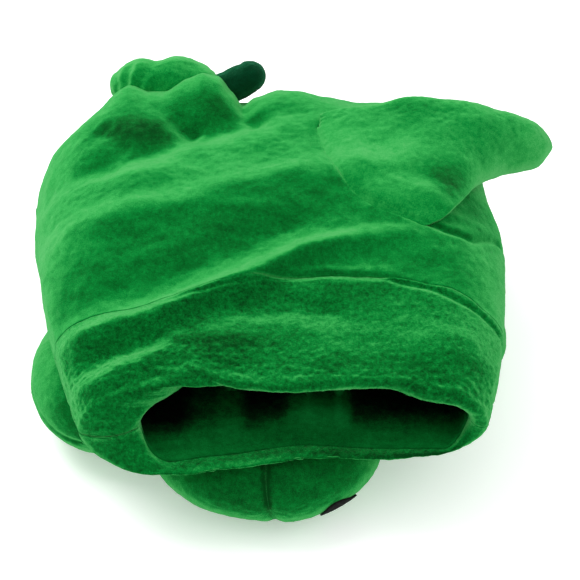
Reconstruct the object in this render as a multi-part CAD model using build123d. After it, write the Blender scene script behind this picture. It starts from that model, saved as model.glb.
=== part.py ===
"""A plush moving mouth hand puppet, lying on its belly with the hand opening towards -Y.

Millimetres, +Z up. The origin is on the surface the puppet lies on, under the middle of its box.
The head is at +Y. Both jaws turn on one line across the corners of the mouth.
"""

import os

from build123d import *

# Driving dimensions.
CLOTH = 3.0  # plush and its backing
FELT = 1.2  # mouth lining, tongue and pockets
BOARD = 1.5  # stiff sheet behind each mouth lining
GAP = 0.4  # between neighbours that move or only touch

HEM_Y = -94.0  # upper lip of the hand opening
LOWER_HEM_Y = -109.0  # lower lip, which stands further out
CUFF_SEAM_Y = -36.0
UPPER_LIP_Z, LOWER_LIP_Z = 62.0, 40.0  # where the hem's slanted side edge starts and ends
LINING_END_Y = 15.0
NECK_Y = 45.0  # the mouth's corner line, across X
MOUTH_Z = 36.0
HOOD_RADIUS = 58.0
HOOD_HALF_WIDTH = 99.0
HOOD_START = 56.0  # degrees above the mouth line where the hood of the back panel ends
HEAD_HALF_WIDTH = 69.0
HEAD_RADIUS = HOOD_RADIUS - CLOTH - 1.6
HEAD_BACK_ANGLE = 76.0  # the head reaches this far up under the hood
CHIN_RADIUS = 28.0
CHIN_BACK_ANGLE = 84.0
JAW_FRONT_Y = NECK_Y + 16.0  # the snout and the chin start here
SHOULDER_LOW_ANGLE = -60.0
BOARD_START_Y = NECK_Y + 5.0
SHOULDER_INNER_X = 71.0
HALF_MOUTH_GAP = 3.4  # the mouth rests a little open

SLEEVE = (  # y, half width, lowest z, highest z of the sleeve's outer face
    (-114.0, 77.0, 38.0, 62.0),
    (-75.0, 88.0, 39.0, 71.0),
    (-30.0, 96.0, 35.0, 81.0),
    (10.0, 98.0, 18.0, 90.0),
    (NECK_Y, 98.0, 2.0, 94.0),
)
BELLY_SEAM_Z = 54.0  # the side seams run at this height
SECTION_ROUNDING = 0.97  # corner radius over half the section's height

RUMP = ((0.0, -78.0, 20.5), (45.0, 41.0, 21.0))  # centre and half sizes
PATCH_AT = (28.0, -112.0, 10.0)  # a crescent: one ball less another
PATCH_NOTCH_AT = (19.0, -112.0, 18.0)
PATCH_RADIUS = 12.0
HAUNCHES = {  # the right one has slipped further under the sleeve
    "left": ((-64.5, -46.0, 22.0), (35.0, 45.0, 22.5)),
    "right": ((68.0, -8.0, 18.0), (34.0, 38.0, 18.0)),
}
SNOUT = ((0.0, 70.0, 39.0), (59.0, 47.0, 16.0))
CHIN = ((0.0, 66.0, 30.0), (57.0, 46.0, 18.0))

TONGUE_AT_Y = 86.0
TONGUE_HALF = (15.0, 24.0)
NOSTRIL = ((13.0, 113.5, 46.5), (3.6, 3.0, 2.2))
SEWN_IN = 0.1  # how far sewn-on pieces stay off the face that carries them

EYE_MOUND = ((40.0, 89.0, 55.5), 12.5)  # centre and radius
EYE_RADIUS = 6.0
EYE_TILT = 16.0  # degrees that an eye looks up
EYE_TURN = 14.0  # degrees that an eye looks outwards
SHANK_RADIUS = 1.5
SHANK_LENGTH = 9.0
EYE_SINK = 1.5  # how far an eye's rim sits inside its mound
EYE_FLATNESS = 0.7
WASHER = (5.0, 1.2)  # radius and thickness
WASHER_FROM_END = 2.0  # along the shank

POCKET_WALL = FELT
FINGER_POCKET = ((-31.0, 24.0, 42.3), (31.0, 87.0, 55.0))
THUMB_POCKET = ((-15.0, 28.0, 17.8), (15.0, 84.0, 29.8))

# Arms: x, y, half depth, middle z and thickness of each section.
RIGHT_ARM = (
    (46.0, 18.0, 33.0, 98.0, 5.0),
    (72.0, 29.0, 27.0, 97.0, 11.0),
    (95.0, 41.0, 19.0, 89.0, 12.0),
    (112.0, 47.0, 14.0, 81.5, 10.0),
    (122.0, 49.0, 6.0, 77.0, 6.0),
)
LEFT_ARM = (
    (-74.0, 80.0, 11.0, 82.0, 12.0),
    (-60.0, 85.0, 13.0, 87.0, 20.0),
    (-43.0, 87.0, 13.0, 88.0, 21.0),
    (-27.0, 86.0, 11.0, 87.5, 19.0),
    (-13.0, 84.0, 9.0, 88.5, 14.0),
    (-3.0, 83.0, 6.0, 90.0, 9.0),
)
MOUND_SWEEP = (61.8, 62.0)  # radius and angle that the lifting eye mounds need under the left arm
EYE_SWEEP = (67.0, 49.0)  # the same for the eyes
ABOVE_PALM_CUT = 0.6  # how far the cut between an arm's two cloths lies below its middle
BEYOND_ARM = 20.0  # how far the cut between an arm's two cloths runs past its ends
ARM_FILL = 0.55  # the filling's share of an arm's depth and thickness

FAR = 400.0  # larger than the whole puppet
HEAD_AXIS_AT = Pos(0, NECK_Y, MOUTH_Z)


def slab(x=(-FAR, FAR), y=(-FAR, FAR), z=(-FAR, FAR)):
    """A box between the given limits."""
    size = [high - low for low, high in (x, y, z)]
    middle = [(high + low) / 2 for low, high in (x, y, z)]
    return Pos(*middle) * Box(*size)


def box_between(low, high):
    return slab(*zip(low, high))


def ellipsoid(centre, half_sizes):
    return Pos(*centre) * scale(Sphere(1.0), by=half_sizes)


def grown(half_sizes, by):
    return tuple(size + by for size in half_sizes)


def mirrored(shape):
    return mirror(shape, Plane.YZ)


def sleeve_solid(inset):
    """The sleeve from hem to neck as one solid, its face moved inwards by inset."""
    sections = []
    for y, half_width, low, high in SLEEVE:
        width = 2 * (half_width - inset)
        height = high - low - 2 * inset
        plane = Plane(origin=(0, y, (low + high) / 2), x_dir=(1, 0, 0), z_dir=(0, 1, 0))
        sections.append(plane * RectangleRounded(width, height, SECTION_ROUNDING * height / 2))
    return loft(sections)


def drum(half_width, radius, start, stop):
    """A barrel on the mouth's corner line, between two angles above +Y, with rounded ends."""
    shoulder = (0.70 * half_width, 0.89 * radius)
    end = (0.93 * half_width, 0.60 * radius)
    arch = [
        ThreePointArc((-half_width, 0), (-end[0], end[1]), (-shoulder[0], shoulder[1])),
        ThreePointArc((-shoulder[0], shoulder[1]), (0, radius), shoulder),
        ThreePointArc(shoulder, end, (half_width, 0)),
    ]
    face = make_face([*arch, Line((half_width, 0), (-half_width, 0))])
    barrel = revolve(face, Axis.X, revolution_arc=stop - start)
    return HEAD_AXIS_AT * Rot(X=start) * barrel


def hem_side(inset_y=0.0):
    """The half space behind the slanted hem line, on the body's side."""
    mouth = Polyline(
        (HEM_Y + inset_y, UPPER_LIP_Z),
        (LOWER_HEM_Y + inset_y, LOWER_LIP_Z),
        (LOWER_HEM_Y + inset_y, -FAR),
        (FAR, -FAR),
        (FAR, FAR),
        (HEM_Y + inset_y, FAR),
        (HEM_Y + inset_y, UPPER_LIP_Z),
    )
    return extrude(Plane.YZ * make_face(mouth), FAR, both=True)


def hood(inset, start):
    """The back panel's front part, which curves down over the head."""
    return drum(HOOD_HALF_WIDTH - inset, HOOD_RADIUS - inset, start, 90.0)


def body_panels():
    outer = sleeve_solid(0.0)
    shell = (outer - sleeve_solid(CLOTH)) & hem_side()
    above = slab(z=(BELLY_SEAM_Z, FAR))
    below = slab(z=(-FAR, BELLY_SEAM_Z))
    cuff = slab(y=(-FAR, CUFF_SEAM_Y))
    rest = slab(y=(CUFF_SEAM_Y, FAR))
    hood_shell = hood(0.0, HOOD_START) - hood(CLOTH, 0.0)
    return {
        "back_panel": (shell & above & rest) + (hood_shell & slab(y=(NECK_Y, FAR))),
        "belly_panel": shell & below & rest,
        "cuff_upper": shell & above & cuff,
        "cuff_lower": shell & below & cuff,
        "hand_lining": (sleeve_solid(CLOTH) - sleeve_solid(CLOTH + FELT))
        & hem_side(2.0)
        & slab(y=(-FAR, LINING_END_Y)),
    }


def shoulders():
    inset = CLOTH + GAP
    pad = drum(HOOD_HALF_WIDTH - inset, HOOD_RADIUS - inset, SHOULDER_LOW_ANGLE, 90.0)
    right = pad & slab(x=(SHOULDER_INNER_X, FAR), y=(NECK_Y, FAR), z=(0.0, FAR))
    return {"shoulder_right": right, "shoulder_left": mirrored(right)}


def under_sleeve(shape):
    """Keeps what lies under the sleeve and above the surface the puppet lies on."""
    return (shape & slab(z=(0.0, FAR))) - sleeve_solid(-GAP)


def rump():
    centre, half = RUMP
    skin = under_sleeve(ellipsoid(centre, half) - ellipsoid(centre, grown(half, -CLOTH)))
    filling = ellipsoid(centre, grown(half, -CLOTH)) & slab(z=(CLOTH, BELLY_SEAM_Z))
    patch = (ellipsoid(centre, grown(half, 1.0)) - ellipsoid(centre, half)) & slab(z=(1.0, FAR))
    patch = (patch & Pos(*PATCH_AT) * Sphere(PATCH_RADIUS)) - Pos(*PATCH_NOTCH_AT) * Sphere(PATCH_RADIUS)
    return {
        "rump_left": skin & slab(x=(-FAR, 0)),
        "rump_right": skin & slab(x=(0, FAR)),
        "rump_stuffing": filling - sleeve_solid(-GAP),
        "rump_patch": patch,
    }


def haunches():
    nodes = {}
    for side, (centre, half) in HAUNCHES.items():
        inner = ellipsoid(centre, grown(half, -CLOTH))
        skin = under_sleeve(ellipsoid(centre, half) - inner)
        filling = (inner & slab(z=(CLOTH, BELLY_SEAM_Z))) - sleeve_solid(-GAP)
        nodes[f"haunch_{side}"] = skin - ellipsoid(RUMP[0], grown(RUMP[1], GAP))
        nodes[f"haunch_stuffing_{side}"] = filling - ellipsoid(RUMP[0], grown(RUMP[1], CLOTH))
    return nodes


def head_solid(inset):
    """The upper head above the mouth line, its face moved inwards by inset."""
    barrel = drum(HEAD_HALF_WIDTH - inset, HEAD_RADIUS - inset, 0.0, HEAD_BACK_ANGLE)
    snout = ellipsoid(SNOUT[0], grown(SNOUT[1], -inset)) & slab(y=(JAW_FRONT_Y, FAR))
    return barrel + snout


def chin_solid(inset):
    """The lower jaw below the mouth line, its face moved inwards by inset."""
    barrel = drum(HEAD_HALF_WIDTH - inset, CHIN_RADIUS - inset, -CHIN_BACK_ANGLE, 0.0)
    chin = ellipsoid(CHIN[0], grown(CHIN[1], -inset)) & slab(y=(JAW_FRONT_Y, FAR))
    return barrel + chin


def pocket(limits):
    """A flat sewn pocket, open at the back where the fingers go in."""
    low, high = limits
    inner_low = (low[0] + POCKET_WALL, low[1] - 1.0, low[2] + POCKET_WALL)
    inner_high = tuple(value - POCKET_WALL for value in high)
    return box_between(low, high) - box_between(inner_low, inner_high)


def pocket_room(limits):
    """What the stuffing leaves free for a pocket, open to the back."""
    low, high = limits
    return box_between((low[0] - GAP, -FAR, low[2] - GAP), grown(high, GAP))


def upper_jaw():
    floor = MOUTH_Z + HALF_MOUTH_GAP
    outer = head_solid(0.0)
    inner = head_solid(CLOTH)
    board_z = (floor + FELT, floor + FELT + BOARD)
    filling = head_solid(CLOTH + GAP) & slab(z=(board_z[1] + GAP, FAR))
    return {
        "crown": (outer - inner) & slab(z=(floor + FELT, FAR)),
        "crown_stuffing": filling - pocket_room(FINGER_POCKET),
        "mouth_board_upper": inner & slab(y=(BOARD_START_Y, FAR), z=board_z),
        "mouth_lining_upper": outer & slab(z=(floor, floor + FELT)),
        "finger_pocket": pocket(FINGER_POCKET),
    }


def lower_jaw():
    roof = MOUTH_Z - HALF_MOUTH_GAP
    outer = chin_solid(0.0)
    inner = chin_solid(CLOTH)
    board_z = (roof - FELT - BOARD, roof - FELT)
    filling = chin_solid(CLOTH + GAP) & slab(z=(-FAR, board_z[0] - GAP))
    tongue = Pos(0, 0, roof + FELT / 2) * extrude(
        Pos(0, TONGUE_AT_Y) * Ellipse(*TONGUE_HALF), FELT / 2, both=True
    )
    return {
        "chin": (outer - inner) & slab(z=(-FAR, roof - FELT)),
        "chin_stuffing": filling - pocket_room(THUMB_POCKET),
        "mouth_board_lower": inner & slab(y=(BOARD_START_Y, FAR), z=board_z),
        "mouth_lining_lower": outer & slab(z=(roof - FELT, roof)),
        "tongue": tongue,
        "thumb_pocket": pocket(THUMB_POCKET),
    }


def right_eye():
    """The plush mound, the plastic eye with its shank, and the washer that locks it."""
    (x, y, z), radius = EYE_MOUND
    looks = Pos(x, y, z) * Rot(Z=-EYE_TURN) * Rot(X=EYE_TILT - 90.0)
    rim = radius - EYE_SINK
    dome = Pos(0, 0, rim) * scale(Sphere(EYE_RADIUS), by=(1, 1, EYE_FLATNESS)) & slab(z=(rim, FAR))
    shank = Pos(0, 0, rim - SHANK_LENGTH / 2) * Cylinder(SHANK_RADIUS, SHANK_LENGTH)
    eye = looks * (dome + shank)
    ring = Cylinder(WASHER[0], WASHER[1]) - Cylinder(SHANK_RADIUS, 2 * WASHER[1])
    washer = looks * Pos(0, 0, rim - SHANK_LENGTH + WASHER_FROM_END) * ring
    mound = Pos(x, y, z) * Sphere(radius) - head_solid(-SEWN_IN)
    return {"eye_mound": mound, "eye": eye, "eye_washer": washer}


def nostril():
    return ellipsoid(*NOSTRIL) - head_solid(-SEWN_IN)


def arm_solid(sections, share=1.0):
    """An arm lofted along X through rounded flat sections."""
    profiles = []
    for x, y, half_depth, middle, thickness in sections:
        plane = Plane(origin=(x, y, middle), x_dir=(0, 1, 0), z_dir=(1, 0, 0))
        profiles.append(plane * Ellipse(half_depth * share, thickness / 2 * share))
    return loft(profiles)


def arm(side, sections):
    """The outer cloth on top, the palm cloth underneath and the thin filling."""
    swept = Part()
    for radius, stop in (MOUND_SWEEP, EYE_SWEEP):
        swept += drum(HOOD_HALF_WIDTH, radius, 0.0, stop)
    body = sleeve_solid(-GAP) + hood(-GAP, 0.0) + swept
    whole = arm_solid(sections) - body
    filling = arm_solid(sections[1:-1], ARM_FILL) - body
    shell = whole - filling
    middles = [(x, middle - ABOVE_PALM_CUT) for x, _, _, middle, _ in sections]
    start = (middles[0][0] - BEYOND_ARM, middles[0][1])
    end = (middles[-1][0] + BEYOND_ARM, middles[-1][1])
    top_edge = Polyline(start, *middles, end, (end[0], FAR), (start[0], FAR), start)
    above = extrude(Plane.XZ * make_face(top_edge), FAR, both=True)
    return {
        f"arm_{side}_outer": shell & above,
        f"arm_{side}_palm": shell - above,
        f"arm_{side}_stuffing": filling,
    }


def head_trim(crown_parts):
    """Both eyes and nostrils, with the crown stuffing cut to clear the washers and shanks."""
    trim = {}
    for name, solid in right_eye().items():
        trim[f"{name}_right"] = solid
        trim[f"{name}_left"] = mirrored(solid)
    trim["nostril_right"] = nostril()
    trim["nostril_left"] = mirrored(nostril())
    for side in ("right", "left"):
        hard = trim[f"eye_{side}"] + trim[f"eye_washer_{side}"]
        trim[f"eye_mound_{side}"] -= hard
        for node in ("crown", "crown_stuffing"):
            crown_parts[node] -= hard
    return trim


def main():
    nodes = {}
    upper = upper_jaw()
    nodes.update(head_trim(upper))
    for group in (body_panels(), shoulders(), rump(), haunches(), upper, lower_jaw()):
        nodes.update(group)
    nodes.update(arm("right", RIGHT_ARM))
    nodes.update(arm("left", LEFT_ARM))
    box = Compound(list(nodes.values())).bounding_box()
    to_origin = Pos(-box.center().X, -box.center().Y, -box.min.Z)
    print("moved to the origin by", to_origin.position)
    os.makedirs("parts", exist_ok=True)
    for name, shape in nodes.items():
        export_step(to_origin * shape, f"parts/{name}.step")


main()
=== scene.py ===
"""The looks of a plush moving mouth hand puppet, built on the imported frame."""

import math

import bmesh
import bpy
import numpy as np
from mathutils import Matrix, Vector, noise


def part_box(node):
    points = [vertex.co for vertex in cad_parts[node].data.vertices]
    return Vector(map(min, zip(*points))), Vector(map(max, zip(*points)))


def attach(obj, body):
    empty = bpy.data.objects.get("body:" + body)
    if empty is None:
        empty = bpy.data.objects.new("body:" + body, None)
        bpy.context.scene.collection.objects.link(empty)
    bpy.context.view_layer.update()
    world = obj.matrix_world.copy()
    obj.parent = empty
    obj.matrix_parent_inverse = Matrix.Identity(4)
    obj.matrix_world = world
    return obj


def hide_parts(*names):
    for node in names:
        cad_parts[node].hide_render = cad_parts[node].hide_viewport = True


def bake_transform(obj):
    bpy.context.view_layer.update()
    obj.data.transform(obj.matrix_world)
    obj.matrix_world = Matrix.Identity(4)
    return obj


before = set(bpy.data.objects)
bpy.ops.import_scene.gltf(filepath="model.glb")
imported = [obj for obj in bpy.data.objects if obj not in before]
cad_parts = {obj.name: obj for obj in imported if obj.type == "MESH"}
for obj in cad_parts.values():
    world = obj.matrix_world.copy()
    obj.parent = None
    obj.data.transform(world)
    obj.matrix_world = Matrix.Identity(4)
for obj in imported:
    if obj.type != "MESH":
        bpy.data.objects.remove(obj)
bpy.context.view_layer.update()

# The puppet's own coordinates are millimetres from its middle plane. The mouth's corner line lies at
# NECK_Y, MOUTH_Z and the CAD cuff ends at CUFF_END_Y. place() turns them into the frame's metres.
MM = 0.001
MIDDLE_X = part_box("rump_left")[1][0]
CUFF_END_Y = -36.0
PLACE_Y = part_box("cuff_upper")[1][1] - CUFF_END_Y * MM
NECK_Y, MOUTH_Z = 45.0, 36.0
SIGN = {"left": -1, "right": 1}
CLOTH = 1.8  # the plush with its pile
HEM_CLOTH = 0.5  # where it is rolled into the hem

# The sleeve.
HOOD_END = 43.0  # degrees above the corner line, where the back's hood ends over the head
THROAT_END = 62.0  # degrees below it, where the belly's throat meets the chin
THROAT_RIM = 30.5  # the throat's reach from the corner line there

SLEEVE = np.array(  # y, left and right half width, lowest z, highest z
    [
        (-114.0, 68.0, 71.0, 38.0, 62.0),
        (-95.0, 74.5, 85.5, 38.0, 66.0),
        (-80.0, 81.0, 91.0, 38.5, 70.5),
        (-52.0, 89.5, 96.0, 37.0, 77.0),
        (-30.0, 94.5, 98.5, 34.0, 83.5),
        (-10.0, 98.0, 100.0, 26.0, 88.5),
        (10.0, 102.5, 100.0, 17.0, 90.5),
        (32.0, 104.5, 98.0, 7.0, 91.5),
        (45.0, 105.0, 97.0, 2.5, 92.0),
    ]
)
SIDE_SEAM_SHARE = 0.375  # the side seams' height in the section

# The hem. Points x, y of its two front lines, the opening's box and how far its upper edge is off it.
UPPER_LIP = (
    (-76, -102), (-64, -100), (-52, -97), (-38, -92), (-28, -87),
    (-18, -90), (-5, -92.5), (50, -93), (64, -96), (84, -98),
)  # fmt: skip
LOWER_LIP = (
    (-76, -102), (-66, -107), (-56, -111), (-37, -113), (-22, -110),
    (13, -104), (44, -106), (70, -106), (84, -98),
)  # fmt: skip
OPENING = (49.0, 77.5, 39.8, 62.0)  # left and right half width, lowest and highest z inside the hem
UPPER_EDGE = (
    (-50, -4), (-40, -5), (-34, -2.5), (-28, 2.5), (-18, 1), (0, 0), (46, 0), (58, -3.5), (78, -4),
)  # fmt: skip
HEM_SECTION_Y = -95.0  # the section whose width the hem has
HEM_DEPTH = 3.0  # how far behind the front lines the hem's roll starts and ends
HEM_ROLL = 5.5  # the most that the roll bulges forwards

# The cuff's seam over the back: a shallow arch.
CUFF_SEAM = (
    (-92, -64), (-62, -62), (-44, -59), (-28, -54), (-14, -49), (1, -45),
    (24, -43.5), (44, -44.5), (62, -49), (77, -55), (92, -60),
)  # fmt: skip

# How far the back panel's far edge stands out, by x: two humps at the left, a notch and a swell.
FAR_EDGE = (
    (-96, 0), (-76, 1), (-62, 6.5), (-54, 3), (-47, 3), (-38, 8), (-30, 11), (-23, 9.5), (-17, 2.5),
    (-12.5, -3.5), (-7, 0.5), (3, 3.5), (12, 3.5), (26, 0.5), (38, -2), (50, -2.5), (64, -1.5), (90, 0),
)  # fmt: skip

# Folds of the back: points (x, y), height and half width. A negative height is a valley.
FOLDS = (
    (((-92, -22), (-70, -16), (-43, -11), (-17, 0), (9, 8), (27, 10), (52, 14)), 3.0, 9.0),
    (((-92, 20), (-69, 20), (-50, 28), (-36, 39), (-16, 46), (6, 54)), -5.5, 9.0),
    (((-44, 52), (-36, 46), (-30, 40)), -3.5, 6.0),
    (((-76, 46), (-66, 34), (-60, 26)), -2.5, 7.0),
    (((-12, 66), (-10, 54), (-2, 44)), -3.0, 4.5),
    (
        ((-88, -72), (-66, -69), (-45, -63), (-31, -56), (-8, -45), (13, -33), (38, -26), (56, -24)),
        4.6,
        5.0,
    ),
    (((-88, -56), (-62, -52), (-38, -43), (-14, -30), (10, -18), (34, -10)), -3.4, 9.0),
    (((-76, -82), (-60, -79), (-46, -75), (-36, -69)), -3.4, 5.5),
    (((-84, -93), (-66, -92), (-50, -84), (-36, -71)), 2.2, 5.0),
    (((-34, -68), (-14, -60), (12, -58), (40, -62)), -2.6, 7.0),
    (((20, -34), (50, -36), (78, -42)), -0.9, 6.0),
    (((54, -80), (70, -75), (88, -72)), 1.2, 8.0),
    (((36, 2), (54, -6), (76, -8)), 1.6, 7.0),
)
# The armhole's seam. The arm lies on its far side.
ARMHOLE = ((22, 40), (25, 24), (31, 7), (43, -7), (60, -16), (73, -21), (84, -20), (96, -6))


def place(points):
    """The puppet's own millimetres as the frame's metres."""
    points = np.asarray(points, float) * MM
    return points + np.array([MIDDLE_X, PLACE_Y, 0.0])


def smooth(value, start, stop):
    """0 before start, 1 after stop, smooth between."""
    share = np.clip((np.asarray(value, float) - start) / (stop - start), 0, 1)
    return share * share * (3 - 2 * share)


def bell(value, width):
    """1 at 0, falling away to nothing within about twice the width."""
    return np.exp(-((value / width) ** 2))


def grid(x, y, z):
    """Points from their coordinates. A single number goes with all the others."""
    return np.stack(np.broadcast_arrays(x, y, z), axis=-1)


def eased(value, points):
    """A curve through (position, height) points, half way from straight runs to level steps."""
    places, heights = np.array(points, float).T
    value = np.clip(value, places[0], places[-1])
    after = np.clip(np.searchsorted(places, value), 1, len(places) - 1)
    share = (value - places[after - 1]) / (places[after] - places[after - 1])
    share = share * share * (3 - 2 * share) * 0.5 + share * 0.5
    return heights[after - 1] + (heights[after] - heights[after - 1]) * share


def distance_to_line(x, y, points):
    """How far each (x, y) is from a polyline, and how far along it the nearest point lies, 0 to 1."""
    points = np.array(points, float)
    lengths = np.linalg.norm(np.diff(points, axis=0), axis=1)
    total, done = lengths.sum(), 0.0
    best = np.full(np.shape(x), np.inf)
    along = np.zeros(np.shape(x))
    for start, stop, length in zip(points[:-1], points[1:], lengths):
        step = (stop - start) / length
        t = np.clip((x - start[0]) * step[0] + (y - start[1]) * step[1], 0, length)
        away = np.hypot(x - start[0] - t * step[0], y - start[1] - t * step[1])
        along = np.where(away < best, (done + t) / total, along)
        best = np.minimum(best, away)
        done += length
    return best, along


def fold_height(x, y):
    """The sum of the folds at points of the back, in millimetres."""
    height = np.zeros(np.shape(x))
    for points, rise, width in FOLDS:
        away, along = distance_to_line(x, y, points)
        fade = smooth(along, 0.0, 0.25) * (1 - smooth(along, 0.75, 1.0)) * 0.75 + 0.25
        height += rise * fade * bell(away, width)
    return height


def bumps(points, scale, seed, octaves=3):
    """Fractal noise at points in millimetres; scale is the size of its largest bumps."""
    shift = Vector((seed * 17.3, seed * 5.1, seed * 9.7))
    flat = np.asarray(points, float).reshape(-1, 3) / scale
    values = [noise.fractal(Vector(p) + shift, 1.0, 2.0, octaves) for p in flat]
    return np.array(values).reshape(np.shape(points)[:-1])


def grid_normals(points):
    """Unit normals of a grid of points, rows by columns."""
    rows = np.gradient(points, axis=0)
    columns = np.gradient(points, axis=1)
    normals = np.cross(columns, rows)
    return normals / np.maximum(np.linalg.norm(normals, axis=-1, keepdims=True), 1e-9)


# Materials.

def material(name):
    made = bpy.data.materials.new(name)
    made.use_nodes = True
    made.node_tree.nodes.clear()
    return made, made.node_tree


def linked(tree, kind, inputs=None, **settings):
    """A shader node with its settings, its input values and its links."""
    node = tree.nodes.new(kind)
    for key, value in settings.items():
        setattr(node, key, value)
    for key, value in (inputs or {}).items():
        if isinstance(value, bpy.types.NodeSocket):
            tree.links.new(value, node.inputs[key])
        else:
            node.inputs[key].default_value = value
    return node


def ramp(tree, source, stops):
    node = linked(tree, "ShaderNodeValToRGB", {"Fac": source})
    elements = node.color_ramp.elements
    while len(elements) < len(stops):
        elements.new(0.5)
    for element, (position, colour) in zip(elements, stops):
        element.position = position
        element.color = (*colour, 1)
    return node.outputs["Color"]


def noise_at(tree, at, scale, detail, roughness=0.6):
    inputs = {"Vector": at, "Scale": scale, "Detail": detail, "Roughness": roughness}
    return linked(tree, "ShaderNodeTexNoise", inputs).outputs["Fac"]


def shaded(tree, inputs):
    """The material's shader with these inputs, as its surface."""
    shader = linked(tree, "ShaderNodeBsdfPrincipled", inputs)
    linked(tree, "ShaderNodeOutputMaterial", {"Surface": shader.outputs["BSDF"]})


def sum_of(tree, base, terms):
    """base plus each (source, weight), the sources centred on 0.5."""
    total = base
    for source, weight in terms:
        centred = linked(tree, "ShaderNodeMath", {0: source, 1: 0.5}, operation="SUBTRACT").outputs[0]
        inputs = {0: centred, 1: weight, 2: total}
        total = linked(tree, "ShaderNodeMath", inputs, operation="MULTIPLY_ADD").outputs[0]
    return total


def pile(name, tones, sheen, tuft_size, tuft_depth, tint, grain=0.5):
    """Short brushed pile. Its attribute of painted sheen and shade says how light each point is
    painted; noise breaks it up.
    """
    made, tree = material(name)
    at = linked(tree, "ShaderNodeNewGeometry").outputs["Position"]
    stretch = {0: at, 1: (0.55, 1.2, 1.0)}
    brushed = linked(tree, "ShaderNodeVectorMath", stretch, operation="MULTIPLY").outputs[0]
    painted_light = linked(tree, "ShaderNodeAttribute", attribute_name="painted_light").outputs["Fac"]
    broad = noise_at(tree, brushed, 34.0, 3.0)
    patches = noise_at(tree, brushed, 150.0, 3.0)
    tufts = noise_at(tree, at, 1.0 / tuft_size, 3.0, 0.7)
    fibres = noise_at(tree, at, 2400.0, 2.0, 0.8)
    tone = sum_of(tree, painted_light, ((broad, 0.40), (patches, 0.34), (tufts, grain), (fibres, 0.70)))
    colour = ramp(tree, tone, tones)
    height = sum_of(tree, fibres, ((tufts, tuft_depth),))
    bump = linked(tree, "ShaderNodeBump", {"Height": height, "Strength": 0.6, "Distance": 0.0011})
    rough = linked(tree, "ShaderNodeMapRange", {"Value": tufts, "To Min": 0.85, "To Max": 1.0})
    look = {"Base Color": colour, "Roughness": rough.outputs["Result"], "Specular IOR Level": 0.03}
    nap_sheen = {"Sheen Weight": sheen, "Sheen Roughness": 0.35, "Sheen Tint": tint}
    shaded(tree, {**look, **nap_sheen, "Normal": bump.outputs["Normal"]})
    return made


def felt(name, dark, light):
    """Pressed felt: fine matted fibres."""
    made, tree = material(name)
    at = linked(tree, "ShaderNodeNewGeometry").outputs["Position"]
    matted = {"Vector": at, "Scale": 1100.0, "Detail": 4.0, "Distortion": 1.2}
    fibres = linked(tree, "ShaderNodeTexNoise", matted).outputs["Fac"]
    colour = ramp(tree, fibres, ((0.35, dark), (0.65, light)))
    bump = linked(tree, "ShaderNodeBump", {"Height": fibres, "Strength": 0.4, "Distance": 0.0006})
    look = {"Base Color": colour, "Roughness": 0.95, "Specular IOR Level": 0.08}
    shaded(tree, {**look, "Normal": bump.outputs["Normal"]})
    return made


def plastic(name, colour, roughness, coat):
    """Moulded plastic with a faint unevenness in its gloss."""
    made, tree = material(name)
    at = linked(tree, "ShaderNodeNewGeometry").outputs["Position"]
    uneven = {"Vector": at, "Scale": 300.0, "Detail": 2.0}
    haze = linked(tree, "ShaderNodeTexNoise", uneven).outputs["Fac"]
    span = {"Value": haze, "To Min": roughness * 0.8, "To Max": roughness * 1.4}
    rough = linked(tree, "ShaderNodeMapRange", span).outputs["Result"]
    tone = ramp(tree, haze, ((0.3, colour), (0.7, tuple(c * 1.15 for c in colour))))
    shaded(tree, {"Base Color": tone, "Roughness": rough, "Coat Weight": coat, "Coat Roughness": 0.06})
    return made


GREEN_TONES = (
    (0.0, (0.0003, 0.045, 0.006)),
    (0.25, (0.0006, 0.120, 0.016)),
    (0.45, (0.0014, 0.200, 0.030)),
    (0.75, (0.026, 0.330, 0.064)),
    (1.0, (0.070, 0.400, 0.105)),
)
DARK_TONES = (
    (0.0, (0.0003, 0.020, 0.006)),
    (0.5, (0.0012, 0.048, 0.017)),
    (1.0, (0.0050, 0.105, 0.042)),
)
LINING_TONES = (
    (0.0, (0.0, 0.0004, 0.0001)),
    (0.3, (0.0003, 0.022, 0.004)),
    (0.6, (0.0006, 0.095, 0.013)),
    (1.0, (0.0040, 0.200, 0.034)),
)
GREEN_SHEEN = (0.35, 1.0, 0.42, 1)
GREEN = pile("plush_green", GREEN_TONES, 0.16, 0.0022, 0.9, GREEN_SHEEN)
CURLY = pile("plush_green_curly", GREEN_TONES, 0.14, 0.0017, 3.2, GREEN_SHEEN, 0.9)
DARK = pile("plush_dark", DARK_TONES, 0.12, 0.0024, 1.2, (0.4, 1.0, 0.6, 1))
LINING = pile("plush_lining", LINING_TONES, 0.0, 0.0026, 1.2, GREEN_SHEEN)
MOUTH = felt("felt_mouth", (0.060, 0.006, 0.008), (0.150, 0.016, 0.020))
TONGUE = felt("felt_tongue", (0.330, 0.040, 0.050), (0.520, 0.080, 0.090))
BLACK = felt("felt_black", (0.003, 0.003, 0.003), (0.012, 0.012, 0.012))
EYE = plastic("eye_black", (0.004, 0.004, 0.004), 0.12, 0.6)
BOARD = plastic("board_white", (0.62, 0.62, 0.60), 0.45, 0.0)
FIBRE = felt("fibre_white", (0.62, 0.62, 0.60), (0.80, 0.80, 0.78))


# Mesh building.

WELD = 2e-6  # points closer than this many metres are one

# Painted sheen and shade on the pile: a face turned fully towards the camera is painted darkest, one
# almost side-on lightest.
TOWARDS_THE_CAMERA = np.array([0.0, -0.766, 0.643])
PAINTED_LIGHT_FACING = (-1.0, 0.0, 0.35, 0.58, 0.78, 0.92, 1.0)
PAINTED_LIGHT_TONE = (0.72, 0.86, 0.92, 0.70, 0.40, 0.27, 0.22)


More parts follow.
